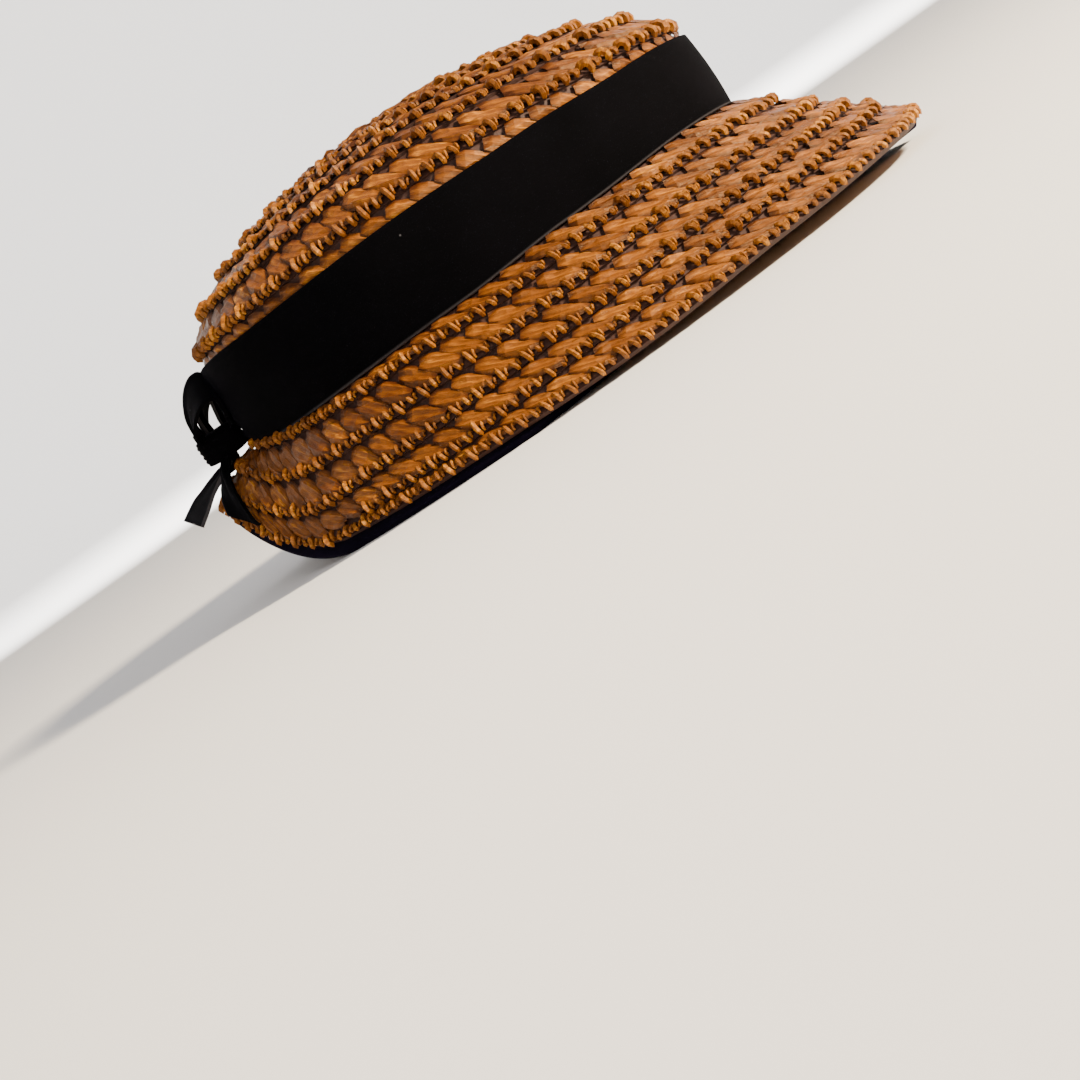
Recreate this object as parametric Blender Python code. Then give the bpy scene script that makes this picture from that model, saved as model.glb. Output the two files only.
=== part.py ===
"""A straw bonnet: a shallow oval crown and a sloping brim of sewn straw braid, with a velvet facing,
a wide velvet ribbon and a small bow at the back.

Metres. +X is the front of the bonnet, +Y the wearer's left, +Z up. The origin is the middle of the
bonnet's box, on the surface that its rim rests on.
"""
import math
from collections import namedtuple

import bmesh
import bpy
from mathutils import Vector


def table(columns, *rows):
    """Rows of a table whose columns have names."""
    kind = namedtuple("Row", columns)
    return tuple(kind(*row) for row in rows)


# Walls, gaps and facets
STRAW_WALL = 0.0014        # one thickness of plaited straw, where a row is thinnest
ROW_TUCK = -0.0002         # where a row slips under the one above it
ROW_STAND = 0.0010         # how far its knotted edge stands out over the next row
VELVET_WALL = 0.0012       # ribbon, and the bow made from it
FACING_WALL = 0.0015
SEAT_GAP = 0.0003          # between pieces that touch
SEGMENTS = 56              # facets round the bonnet
SURFACE_STEP = 0.015       # radians, or share of a slope, over which a surface's normal is taken
OUTWARD_LEAN = 0.3         # rise of the direction that tells a surface's outside from its inside
CREASE_DEGREES = 35.0      # edges sharper than this stay sharp

# Colours and roughness
STRAW_COLOUR = (0.62, 0.33, 0.11)
STRAW_ROUGHNESS = 0.45
FACING_COLOUR = (0.012, 0.010, 0.022)
RIBBON_COLOUR = (0.006, 0.006, 0.009)
VELVET_ROUGHNESS = 0.9

# Crown
CROWN_HALF_LENGTH = 0.1003
CROWN_HALF_WIDTH = 0.0850
CROWN_TOP_Z = 0.1105
CROWN_TOP_SHIFT = -0.006   # the top of the dome lies a little to the back
DOME_FULLNESS = 1.1        # 1 is a plain oval section, more is a flatter shoulder
DOME_INSET = 0.0014        # the dome stands in from the wall, under the ribbon's upper edge
INSET_REACH = 0.10         # share of the wall's height in which that step is made
# The lower edge of each row of braid on the dome, as shares of the dome's half sizes: at the sides,
# and at the front and back
DOME_ROWS = table(
    "side end",
    (0.975, 0.992),
    (0.834, 0.905),
    (0.664, 0.765),
    (0.503, 0.625),
    (0.345, 0.480),
    (0.190, 0.330),
    (0.060, 0.160),
)

# Ribbon band. Degrees from the front, then the lower and the upper edge as shares of the ribbon's
# width above BAND_FOOT_Z. The edges wave a little: low at the back and high at the sides.
RIBBON_WIDTH = 0.033
BAND_FOOT_Z = 0.0460
BAND_EDGES = table(
    "degrees lower upper",
    (0, 0.035, 0.890),
    (45, 0.110, 0.965),
    (75, 0.070, 1.020),
    (100, 0.010, 1.045),
    (150, -0.055, 0.980),
    (180, 0.000, 0.940),
)

# Shares of the ribbon's width at which its section has corners. It is fuller at the inner two.
BAND_CORNERS = (0.0, 0.3, 0.7, 1.0)

# Brim
RIM_CENTRE_X = 0.0146
RIM_HALF_LENGTH = 0.1372
RIM_HALF_WIDTH = 0.1180
BRIM_SWELL = 0.0012        # the brim's slope bows outwards by this much
ROLL_HEIGHT = 0.0040       # the facing's rolled edge, below the straw
BACK_ARCH_RISE = 0.0285    # the rim lifts at the centre back
BACK_ARCH_HALF_DEGREES = 40.0
FRONT_RISE = 0.0029        # and it lifts a little at the front, so that it rests on its two sides
FRONT_RISE_EASE = table(
    "degrees rise",
    (0, 1.00),
    (30, 0.96),
    (60, 0.58),
    (90, 0.00),
)
# The straw's edge above the bottom of the rolled edge, in shares of the roll's height
STRAW_EDGE = table(
    "degrees height",
    (0, 1.05),
    (60, 1.10),
    (90, 0.85),
    (120, 1.05),
    (155, 1.40),
    (180, 1.10),
)
# The lower edge of each row of the brim, as a share of its slope. The fifth row ends at the straw's
# edge, and it runs out towards the back.
BRIM_ROWS = table(
    "degrees first second third fourth",
    (0, 0.255, 0.465, 0.630, 0.790),
    (90, 0.185, 0.420, 0.635, 0.815),
    (120, 0.140, 0.430, 0.690, 0.900),
    (150, 0.090, 0.440, 0.750, 0.970),
    (180, 0.090, 0.440, 0.750, 0.970),
)

# Rolled edge of the facing, from the underside round to the straw's edge. Outwards is from the
# straw's edge and up is from the bottom of the roll, both as shares of the roll's height.
ROLL_SECTION = table(
    "outwards up",
    (-1.04, 0.42),
    (-0.94, 0.14),
    (-0.76, 0.00),
    (-0.26, 0.00),
    (-0.03, 0.11),
    (0.12, 0.36),
    (0.06, 0.58),
)
# Sections of the brim's underside, which the facing follows, as shares of the slope. The facing
# starts at the last.
UNDERSIDE_SHARES = (1.0, 0.68, 0.35, 0.03)
ROLL_JOIN = 0.006          # where the roll meets the flat facing, from the straw's edge

# Bow, measured from the outside of the band at the centre back
KNOT_HALF_WIDTH = 0.0100
KNOT_HALF_DEPTH = 0.0086
KNOT_HALF_HEIGHT = 0.0055
KNOT_SEGMENTS = 20
KNOT_SQUARENESS = 0.7      # 1 is an oval knot, less is a squarer one
KNOT_CENTRE_Z = 0.0525
# Up from the knot's middle in half heights, then the size there as a share of the knot's
KNOT_PLEATS = table(
    "up size",
    (-1.00, 0.92),
    (-0.78, 1.00),
    (-0.36, 0.94),
    (0.00, 1.00),
    (0.36, 0.94),
    (0.78, 1.00),
    (1.00, 0.92),
)

BOW_RIBBON_WIDTH = 0.029
BOW_GATHER = 0.0016        # how far the ribbon's middle is pinched out of its plane at the knot
LOOP_LENGTH = 0.0160
LOOP_DEPTH = 0.0140
LOOP_SPREAD_DEGREES = 26.0
LOOP_LEAN_DEGREES = 12.0
LOOP_FAN_RATE = 3.0        # how soon along its length the ribbon turns square to the loop
# Along the loop in loop lengths, outwards in loop depths, and width in ribbon widths
LOOP_PATH = table(
    "along out width gather",
    (0.04, 0.50, 0.33, 1.0),
    (0.16, 0.53, 0.42, 0.9),
    (0.32, 0.53, 0.50, 0.7),
    (0.52, 0.48, 0.61, 0.4),
    (0.72, 0.38, 0.71, 0.2),
    (0.88, 0.24, 0.77, 0.1),
    (0.98, 0.08, 0.80, 0.0),
    (1.00, -0.05, 0.80, 0.0),
    (0.97, -0.17, 0.80, 0.0),
    (0.86, -0.27, 0.76, 0.0),
    (0.68, -0.32, 0.69, 0.0),
    (0.48, -0.35, 0.59, -0.1),
    (0.28, -0.36, 0.48, -0.3),
    (0.14, -0.36, 0.41, -0.5),
    (0.04, -0.36, 0.33, -0.6),
)

# The tail that stands out: its middle line in shares of TAIL_LENGTH, from the knot's underside
TAIL_LENGTH = 0.040
TAIL_OUT_TILT = 0.30       # rise of the ribbon across its width
TAIL_OUT_PATH = table(
    "side out down width gather",
    (0.125, 0.010, 0.035, 0.31, 1.0),
    (0.150, 0.065, 0.065, 0.38, 0.8),
    (0.190, 0.170, 0.075, 0.50, 0.5),
    (0.235, 0.310, 0.130, 0.66, 0.3),
    (0.275, 0.440, 0.195, 0.80, 0.1),
    (0.310, 0.555, 0.250, 0.92, 0.0),
    (0.335, 0.650, 0.305, 1.00, 0.0),
)
TAIL_CUT = 0.10            # slant of the tail's cut end, in tail lengths either way
# The tail that lies on the brim: its middle line on the brim, the lift off the straw in tail lengths
TAIL_DOWN_START_WIDTH = 0.31
TAIL_DOWN_STUB = 0.03      # the short straight start under the knot, in tail lengths
TAIL_DOWN_PATH = table(
    "from_back brim_share lift width gather",
    (5.0, 0.53, 0.050, 0.42, 0.8),
    (7.0, 0.61, 0.034, 0.56, 0.5),
    (9.5, 0.70, 0.018, 0.70, 0.3),
    (12.0, 0.79, 0.006, 0.82, 0.1),
    (14.5, 0.87, 0.002, 0.92, 0.0),
    (16.5, 0.93, 0.002, 1.00, 0.0),
)


def read_table(rows, wanted, angle):
    """Value of a named column at an angle from the front, the same on both sides, eased between rows."""
    column = rows[0]._fields.index(wanted)
    degrees = abs((math.degrees(angle) + 180.0) % 360.0 - 180.0)
    for low, high in zip(rows, rows[1:]):
        if degrees <= high.degrees:
            share = (degrees - low.degrees) / (high.degrees - low.degrees)
            ease = share * share * (3.0 - 2.0 * share)
            return low[column] + (high[column] - low[column]) * ease
    return rows[-1][column]


def band_edge(angle, which):
    """Height of the ribbon's lower or upper edge."""
    return BAND_FOOT_Z + RIBBON_WIDTH * read_table(BAND_EDGES, which, angle)


def brim_top_z(angle):
    """Height at which the brim leaves the crown, just under the ribbon's lower edge."""
    return band_edge(angle, "lower") - 2.0 * SEAT_GAP


def crown_base(angle, reach):
    """Point of the crown: reach 0 is the top of the dome, 1 its foot and 2 the foot of the wall."""
    turn = min(reach, 1.0) * math.pi / 2.0
    spread = math.sin(turn)
    drop = 1.0 - math.cos(turn) ** DOME_FULLNESS
    foot_z = band_edge(angle, "upper") - ROW_STAND
    z = CROWN_TOP_Z - (CROWN_TOP_Z - foot_z) * drop
    inset = DOME_INSET
    if reach > 1.0:
        z = foot_z + (brim_top_z(angle) + SEAT_GAP - foot_z) * (reach - 1.0)
        inset = DOME_INSET * max(0.0, 1.0 - (reach - 1.0) / INSET_REACH)
    return Vector((
        CROWN_TOP_SHIFT * math.cos(turn) ** 2 + (CROWN_HALF_LENGTH - inset) * spread * math.cos(angle),
        (CROWN_HALF_WIDTH - inset) * spread * math.sin(angle),
        z,
    ))


def rim_rise(angle):
    """Lift of the rim off the surface it rests on, at the centre back and at the front."""
    front = read_table(FRONT_RISE_EASE, "rise", angle) * FRONT_RISE
    from_back = abs(math.degrees(angle) % 360.0 - 180.0)
    if from_back >= BACK_ARCH_HALF_DEGREES:
        return front
    return BACK_ARCH_RISE * math.cos(math.radians(90.0 * from_back / BACK_ARCH_HALF_DEGREES)) ** 2


def rim_base(angle):
    """Edge of the straw brim."""
    height = read_table(STRAW_EDGE, "height", angle) * ROLL_HEIGHT
    return Vector((
        RIM_CENTRE_X + RIM_HALF_LENGTH * math.cos(angle),
        RIM_HALF_WIDTH * math.sin(angle),
        height + rim_rise(angle),
    ))


def brim_foot(angle):
    """Where the brim leaves the crown's wall."""
    return Vector((
        CROWN_HALF_LENGTH * math.cos(angle),
        CROWN_HALF_WIDTH * math.sin(angle),
        brim_top_z(angle),
    ))


def brim_base(angle, share):
    """Point on the brim's slope: share 0 is at the crown and 1 is the straw's edge."""
    foot = brim_foot(angle)
    edge = rim_base(angle)
    along = (edge - foot).normalized()
    outwards = Vector((math.cos(angle) * CROWN_HALF_WIDTH, math.sin(angle) * CROWN_HALF_LENGTH, 0.0))
    up = (outwards.normalized() - along * along.dot(outwards.normalized())).normalized()
    return foot + (edge - foot) * share + up * (BRIM_SWELL * 4.0 * share * (1.0 - share))


def pushed(base, angle, place, push):
    """A surface's point, moved out of the surface by push."""
    low, high = max(place - SURFACE_STEP, 0.0), place + SURFACE_STEP
    down = base(angle, high) - base(angle, low)
    beside = base(angle + SURFACE_STEP, place) - base(angle - SURFACE_STEP, place)
    normal = down.cross(beside).normalized()
    if normal.dot(Vector((math.cos(angle), math.sin(angle), OUTWARD_LEAN))) < 0.0:
        normal = -normal
    return base(angle, place) + normal * push


def around():
    """Angles of the facets' corners round the bonnet."""
    return [2.0 * math.pi * index / SEGMENTS for index in range(SEGMENTS)]


def new_material(name, colour, roughness):
    material = bpy.data.materials.new(name)
    material.use_nodes = True
    shader = material.node_tree.nodes["Principled BSDF"]
    shader.inputs["Base Color"].default_value = (*colour, 1.0)
    shader.inputs["Roughness"].default_value = roughness
    shader.inputs["Metallic"].default_value = 0.0
    return material


def new_piece(name, rings, poles, material, parent):
    """One closed body through rings of points. Each ring is closed. With poles, the first and last
    rings close on a point each, with "caps" each on a face, and otherwise they join each other."""
    bm = bmesh.new()
    loops = [[bm.verts.new(point) for point in ring] for ring in rings]
    pairs = list(zip(loops, loops[1:]))
    if poles is None:
        pairs.append((loops[-1], loops[0]))
    for low, high in pairs:
        for index in range(len(low)):
            following = (index + 1) % len(low)
            bm.faces.new((low[index], low[following], high[following], high[index]))
    if poles == "caps":
        bm.faces.new(loops[0])
        bm.faces.new(loops[-1])
    elif poles is not None:
        for loop, pole in ((loops[0], poles[0]), (loops[-1], poles[1])):
            tip = bm.verts.new(pole)
            for index in range(len(loop)):
                bm.faces.new((loop[index], loop[(index + 1) % len(loop)], tip))
    bmesh.ops.recalc_face_normals(bm, faces=bm.faces)
    mesh = bpy.data.meshes.new(name)
    bm.to_mesh(mesh)
    bm.free()
    mesh.shade_smooth()
    mesh.set_sharp_from_angle(angle=math.radians(CREASE_DEGREES))
    piece = bpy.data.objects.new(name, mesh)
    bpy.context.scene.collection.objects.link(piece)
    piece.data.materials.append(material)
    piece.parent = parent
    return piece


def row_reach(row, angle):
    """Reach of the lower edge of a row of the dome."""
    share = row.side + (row.end - row.side) * math.cos(angle) ** 2
    return 2.0 * math.asin(share) / math.pi


def crown_ring(place, push):
    """Ring of the crown. The place is a reach, or a row of the dome, whose lower edge it follows."""
    ring = []
    for angle in around():
        reach = row_reach(place, angle) if isinstance(place, tuple) else place
        ring.append(pushed(crown_base, angle, reach, push))
    return ring


def make_crown(parent):
    """Dome and wall: rows step out over each other outside, and the inside is smooth."""
    wall = [2.0, 1.0 + INSET_REACH, 1.0]
    outside = [crown_ring(reach, 0.0) for reach in wall]
    for row in DOME_ROWS:
        outside += [crown_ring(row, ROW_TUCK), crown_ring(row, ROW_STAND)]
    inside = [crown_ring(place, -STRAW_WALL) for place in wall + list(DOME_ROWS)]
    rings = outside[::-1] + inside
    top = crown_base(0.0, 0.0)
    poles = (top + Vector((0.0, 0.0, ROW_STAND)), top - Vector((0.0, 0.0, STRAW_WALL)))
    straw = new_material("straw_crown", STRAW_COLOUR, STRAW_ROUGHNESS)
    return new_piece("crown", rings, poles, straw, parent)


def brim_row_edges(angle):
    """Lower edge of each row of the brim, as shares of its slope."""
    return [read_table(BRIM_ROWS, name, angle) for name in BRIM_ROWS[0]._fields[1:]] + [1.0]


def make_brim(parent):
    """Five rows of braid, each standing out over the next, down to the straw's edge."""
    sections = []
    for angle in around():
        outside = [(0.0, 0.0)]
        for edge in brim_row_edges(angle):
            outside += [(edge, ROW_STAND), (edge, ROW_TUCK)]
        outside.pop()
        inside = [(share, -STRAW_WALL) for share in UNDERSIDE_SHARES + (0.0,)]
        sections.append([pushed(brim_base, angle, share, push) for share, push in outside + inside])
    straw = new_material("straw_brim", STRAW_COLOUR, STRAW_ROUGHNESS)
    return new_piece("brim", sections, None, straw, parent)


def make_facing(parent):
    """Velvet under the brim, folded over a roll that shows below the straw's edge."""
    top = -(STRAW_WALL + SEAT_GAP)
    under = top - FACING_WALL
    sections = []
    for angle in around():
        edge = rim_base(angle)
        floor = edge - Vector((0.0, 0.0, edge.z - rim_rise(angle)))
        outwards = Vector((
            RIM_HALF_WIDTH * math.cos(angle), RIM_HALF_LENGTH * math.sin(angle), 0.0)).normalized()
        slope = (edge - brim_foot(angle)).length
        join = 1.0 - ROLL_JOIN / slope
        section = [pushed(brim_base, angle, share, top) for share in UNDERSIDE_SHARES]
        section += [pushed(brim_base, angle, share, under) for share in UNDERSIDE_SHARES[:0:-1] + (join,)]
        for row in ROLL_SECTION:
            up = Vector((0.0, 0.0, row.up * ROLL_HEIGHT))
            section.append(floor + outwards * (row.outwards * ROLL_HEIGHT) + up)
        sections.append(section)
    velvet = new_material("velvet_facing", FACING_COLOUR, VELVET_ROUGHNESS)
    return new_piece("brim_facing", sections, None, velvet, parent)


def crown_side(angle, out, z):
    """Point beside the crown's wall, out from its straw."""
    side = Vector((CROWN_HALF_LENGTH * math.cos(angle), CROWN_HALF_WIDTH * math.sin(angle), z))
    outwards = Vector((CROWN_HALF_WIDTH * math.cos(angle), CROWN_HALF_LENGTH * math.sin(angle), 0.0))
    return side + outwards.normalized() * out


def make_band(parent):
    """Ribbon round the wall, a little fuller at mid height."""
    inner = SEAT_GAP
    outer = inner + VELVET_WALL
    full = outer + SEAT_GAP
    sections = []
    for angle in around():
        low, high = band_edge(angle, "lower"), band_edge(angle, "upper")
        heights = [low + (high - low) * share for share in BAND_CORNERS]
        section = [crown_side(angle, out, z) for out, z in zip((outer, full, full, outer), heights)]
        section += [crown_side(angle, inner, heights[3]), crown_side(angle, inner, heights[0])]
        sections.append(section)
    velvet = new_material("velvet_band", RIBBON_COLOUR, VELVET_ROUGHNESS)
    return new_piece("ribbon_band", sections, None, velvet, parent)


def band_outside_x():
    """The outside of the band at the centre back."""
    return -(CROWN_HALF_LENGTH + SEAT_GAP + VELVET_WALL + SEAT_GAP)


def bow_point(side, out, z):
    """Point by the bow: side to the wearer's left, out to the back from the band."""
    return Vector((band_outside_x() - out, side, z))


def knot_middle_out():
    return SEAT_GAP + KNOT_HALF_DEPTH


def squared(share):
    """Fills out a round section towards a square one."""
    return math.copysign(abs(share) ** KNOT_SQUARENESS, share)


def make_knot(parent):
    """The wrap of ribbon that holds the bow, pleated round its waist."""
    rings = []
    for row in KNOT_PLEATS:
        ring = []
        for index in range(KNOT_SEGMENTS):
            turn = 2.0 * math.pi * index / KNOT_SEGMENTS
            side = squared(math.cos(turn)) * KNOT_HALF_WIDTH * row.size
            out = squared(math.sin(turn)) * KNOT_HALF_DEPTH * row.size
            z = KNOT_CENTRE_Z + row.up * KNOT_HALF_HEIGHT
            ring.append(bow_point(side, knot_middle_out() + out, z))
        rings.append(ring)
    velvet = new_material("velvet_knot", RIBBON_COLOUR, VELVET_ROUGHNESS)
    return new_piece("bow_knot", rings, "caps", velvet, parent)


def ribbon_body(name, stations, parent):
    """A strip of ribbon: each station has its middle, half its width as a vector, and its gather."""
    rings = []
    for index, (middle, half, gather) in enumerate(stations):
        before = stations[max(index - 1, 0)][0]
        after = stations[min(index + 1, len(stations) - 1)][0]
        normal = half.cross(after - before).normalized()
        crest = middle + normal * (gather * BOW_GATHER)
        lift = normal * (VELVET_WALL / 2.0)
        rings.append([
            middle - half + lift, crest + lift, middle + half + lift,
            middle + half - lift, crest - lift, middle - half - lift,
        ])
    velvet = new_material("velvet_" + name, RIBBON_COLOUR, VELVET_ROUGHNESS)
    return new_piece(name, rings, "caps", velvet, parent)


def end_at_knot(station, z):
    """The ribbon's end on the knot's face, straight above or below its nearest station."""
    middle, half, gather = station
    return (Vector((middle.x, middle.y, z)), Vector((0.0, half.y, 0.0)), gather)


def make_loop(name, hand, parent):
    """An upright loop of the bow. Hand is 1 on the wearer's left and -1 on the right."""
    spread = math.radians(LOOP_SPREAD_DEGREES)
    lean = math.radians(LOOP_LEAN_DEGREES)
    base_side = hand * (BOW_RIBBON_WIDTH * LOOP_PATH[0].width / 2.0 + 2.0 * SEAT_GAP)
    base = bow_point(base_side, knot_middle_out(), KNOT_CENTRE_Z + KNOT_HALF_HEIGHT + SEAT_GAP)
    along = Vector((math.sin(lean), hand * math.sin(spread) * math.cos(lean),
                    math.cos(spread) * math.cos(lean)))
    stations = []
    for row in LOOP_PATH:
        fan = spread * min(1.0, row.along * LOOP_FAN_RATE)
        across = Vector((0.0, hand * math.cos(fan), -math.sin(fan)))
        middle = base + along * (row.along * LOOP_LENGTH) + Vector((-row.out * LOOP_DEPTH, 0.0, 0.0))
        stations.append((middle, across * (row.width * BOW_RIBBON_WIDTH / 2.0), row.gather * hand))
    stations.insert(0, end_at_knot(stations[0], base.z))
    stations.append(end_at_knot(stations[-1], base.z))
    return ribbon_body(name, stations, parent)


def cut_slantwise(stations, slant):
    """Lengthens one edge of the last station and shortens the other."""
    middle, half, gather = stations[-1]
    onwards = (middle - stations[-2][0]).normalized() * (slant * TAIL_LENGTH)
    stations[-1] = (middle, half + onwards, gather)
    return stations


def make_tail_out(parent):
    """The wearer's left tail, which stands out to the back."""
    start_z = KNOT_CENTRE_Z - KNOT_HALF_HEIGHT - SEAT_GAP
    stations = []
    for row in TAIL_OUT_PATH:
        middle = bow_point(row.side * TAIL_LENGTH, knot_middle_out() + row.out * TAIL_LENGTH,
                           start_z - row.down * TAIL_LENGTH)
        across = Vector((0.0, 1.0, TAIL_OUT_TILT * (1.0 - row.gather))).normalized()
        stations.append((middle, across * (row.width * BOW_RIBBON_WIDTH / 2.0), -row.gather))
    stations.insert(0, end_at_knot(stations[0], start_z))
    return ribbon_body("bow_tail_left", cut_slantwise(stations, TAIL_CUT), parent)


def make_tail_down(parent):
    """The wearer's right tail, which drops from the knot and lies on the brim."""
    start_z = KNOT_CENTRE_Z - KNOT_HALF_HEIGHT - SEAT_GAP
    start_half = BOW_RIBBON_WIDTH * TAIL_DOWN_START_WIDTH / 2.0
    start = bow_point(-start_half - SEAT_GAP, knot_middle_out(), start_z)
    stub = Vector((0.0, 0.0, -TAIL_LENGTH * TAIL_DOWN_STUB))
    half = Vector((0.0, -start_half, 0.0))
    stations = [(start, half, -1.0), (start + stub, half, -1.0)]
    for row in TAIL_DOWN_PATH:
        angle = math.radians(180.0 + row.from_back)
        clear = ROW_STAND + SEAT_GAP + VELVET_WALL / 2.0 + row.lift * TAIL_LENGTH
        middle = pushed(brim_base, angle, row.brim_share, clear)
        beside = pushed(brim_base, angle + SURFACE_STEP, row.brim_share, clear)
        across = (beside - middle).normalized()
        stations.append((middle, across * (row.width * BOW_RIBBON_WIDTH / 2.0), -row.gather))
    return ribbon_body("bow_tail_right", cut_slantwise(stations, -TAIL_CUT), parent)


def clear_scene():
    for item in list(bpy.data.objects):
        bpy.data.objects.remove(item, do_unlink=True)


def stand_on_origin(root, pieces):
    """Moves the bonnet so that the middle of its box's base is the origin."""
    corners = [vertex.co for piece in pieces for vertex in piece.data.vertices]
    lows = [min(corner[axis] for corner in corners) for axis in range(3)]
    highs = [max(corner[axis] for corner in corners) for axis in range(3)]
    root.location = (-(lows[0] + highs[0]) / 2.0, -(lows[1] + highs[1]) / 2.0, -lows[2])


def main():
    clear_scene()
    root = bpy.data.objects.new("bonnet", None)
    bpy.context.scene.collection.objects.link(root)
    pieces = [
        make_crown(root),
        make_brim(root),
        make_facing(root),
        make_band(root),
        make_knot(root),
        make_loop("bow_loop_left", 1.0, root),
        make_loop("bow_loop_right", -1.0, root),
        make_tail_out(root),
        make_tail_down(root),
    ]
    stand_on_origin(root, pieces)


main()
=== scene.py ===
# %% [markdown]
# This lesson dresses a straw bonnet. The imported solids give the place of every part: a shallow oval
# crown and a sloping brim of sewn straw braid, a velvet facing under the brim, a wide velvet ribbon
# and a small bow at the back. The braid, the pile of the velvet and the folds of the bow are made
# here. All lengths are in metres, +X is the front of the bonnet, +Y is its left side and +Z is up.

# %% Load the frame
import math

import bmesh
import bpy
import numpy as np
from mathutils import Matrix, Quaternion, Vector


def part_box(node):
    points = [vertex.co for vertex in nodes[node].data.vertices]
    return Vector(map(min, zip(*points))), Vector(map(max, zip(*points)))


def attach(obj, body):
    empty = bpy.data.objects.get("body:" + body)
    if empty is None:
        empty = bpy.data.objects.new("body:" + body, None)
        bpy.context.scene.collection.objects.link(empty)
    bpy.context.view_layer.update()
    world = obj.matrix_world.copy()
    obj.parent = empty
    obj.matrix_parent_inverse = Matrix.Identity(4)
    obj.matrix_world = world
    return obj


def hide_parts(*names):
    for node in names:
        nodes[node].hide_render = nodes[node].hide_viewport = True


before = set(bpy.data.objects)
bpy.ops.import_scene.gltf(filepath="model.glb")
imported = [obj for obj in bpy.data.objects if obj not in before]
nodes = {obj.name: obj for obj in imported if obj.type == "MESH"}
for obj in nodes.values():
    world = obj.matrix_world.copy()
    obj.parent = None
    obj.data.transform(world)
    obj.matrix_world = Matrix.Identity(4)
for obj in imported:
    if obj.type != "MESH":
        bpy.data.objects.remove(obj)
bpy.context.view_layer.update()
bpy.ops.object.select_all(action="DESELECT")
print("packed nodes:", ", ".join(sorted(nodes)))

# %% [markdown]
# The photograph looks at the bonnet's right side from a little above, and the bonnet is tipped there,
# so here the camera tilts instead: the bonnet rests level on its rim, as it would alone. A long lens
# a metre away keeps the near and the far edge of the brim at almost the same size.

# %% Camera
crown_low, crown_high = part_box("crown")
CROWN_X = (crown_low[0] + crown_high[0]) / 2.0      # the middle of the crown, along the bonnet
CAMERA_PLACE = Vector((CROWN_X - 0.040, -1.0, 0.066))
CAMERA_TARGET = Vector((CROWN_X - 0.040, 0.0, -0.0396))
CAMERA_LENS = 95.2
CAMERA_ROLL_DEGREES = 35.2


def add_camera():
    data = bpy.data.cameras.new("photo_view")
    data.lens = CAMERA_LENS
    data.sensor_width = 36.0
    data.clip_start = 0.01
    camera = bpy.data.objects.new("photo_view", data)
    bpy.context.scene.collection.objects.link(camera)
    ahead = (CAMERA_TARGET - CAMERA_PLACE).normalized()
    roll = Quaternion(ahead, math.radians(CAMERA_ROLL_DEGREES))
    turn = roll @ ahead.to_track_quat("-Z", "Y")
    camera.matrix_world = Matrix.Translation(CAMERA_PLACE) @ turn.to_matrix().to_4x4()
    bpy.context.scene.camera = camera
    return camera


print("camera at", tuple(round(value, 3) for value in add_camera().location))

# %% [markdown]
# Everything that lies on the straw is placed by two surfaces, one for the crown and one for the brim.
# They are the surfaces that the solids were made from, so what is laid on them fits. Each takes the
# angle from the front and a place down the slope, as whole arrays, which keeps thousands of leaves of
# straw quick to lay.

# %% Values of the crown
STRAW_WALL = 0.0014
ROW_TUCK = -0.0002            # where a row slips under the one above it
ROW_STAND = 0.0010            # how far a row stands out over the next, at its lower edge
SEAT_GAP = 0.0003
VELVET_WALL = 0.0012
FACING_WALL = 0.0015
CROWN_HALF_LENGTH = 0.1003
CROWN_HALF_WIDTH = 0.0850
CROWN_TOP_Z = 0.1105
CROWN_TOP_SHIFT = -0.006
DOME_FULLNESS = 1.1
DOME_INSET = 0.0014
WALL_DROP = 0.055             # how far the straw goes on down behind the ribbon, per unit of reach
# The lower edge of each row of the dome, as shares of its half sizes: at the sides, at the ends
DOME_ROWS = (
    (0.975, 0.992), (0.834, 0.905), (0.664, 0.765), (0.503, 0.625),
    (0.345, 0.480), (0.190, 0.330), (0.060, 0.160),
)
RIBBON_WIDTH = 0.033
BAND_FOOT_Z = 0.0460
BAND_DEGREES = (0, 45, 75, 100, 150, 180)
BAND_LOWER = (0.035, 0.110, 0.070, 0.010, -0.055, 0.000)
BAND_UPPER = (0.890, 0.965, 1.020, 1.045, 0.980, 0.940)

# %% Values of the brim
RIM_CENTRE_X = 0.0146
RIM_HALF_LENGTH = 0.1372
RIM_HALF_WIDTH = 0.1180
BRIM_SWELL = 0.0012
ROLL_HEIGHT = 0.0040
BACK_ARCH_RISE = 0.0285
BACK_ARCH_HALF_DEGREES = 40.0
FRONT_RISE = 0.0029
FRONT_RISE_DEGREES = (0, 30, 60, 90)
FRONT_RISE_EASE = (1.00, 0.96, 0.58, 0.00)
STRAW_EDGE_DEGREES = (0, 60, 90, 120, 155, 180)
STRAW_EDGE_HEIGHT = (1.05, 1.10, 0.85, 1.05, 1.40, 1.10)
BRIM_ROW_DEGREES = (0, 90, 120, 150, 180)
BRIM_ROW_SHARES = (
    (0.255, 0.185, 0.140, 0.090, 0.090),
    (0.465, 0.420, 0.430, 0.440, 0.440),
    (0.630, 0.635, 0.690, 0.750, 0.750),
    (0.790, 0.815, 0.900, 0.970, 0.970),
)


# %% Surfaces
def eased(degrees, values, angle):
    """Value at an angle from the front, the same on both sides, eased between the values given."""
    degrees = np.asarray(degrees, dtype=float)
    values = np.asarray(values, dtype=float)
    turned = np.abs((np.degrees(angle) + 180.0) % 360.0 - 180.0)
    low = np.clip(np.searchsorted(degrees, turned, side="right") - 1, 0, len(degrees) - 2)
    share = np.clip((turned - degrees[low]) / (degrees[low + 1] - degrees[low]), 0.0, 1.0)
    return values[low] + (values[low + 1] - values[low]) * share * share * (3.0 - 2.0 * share)


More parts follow.
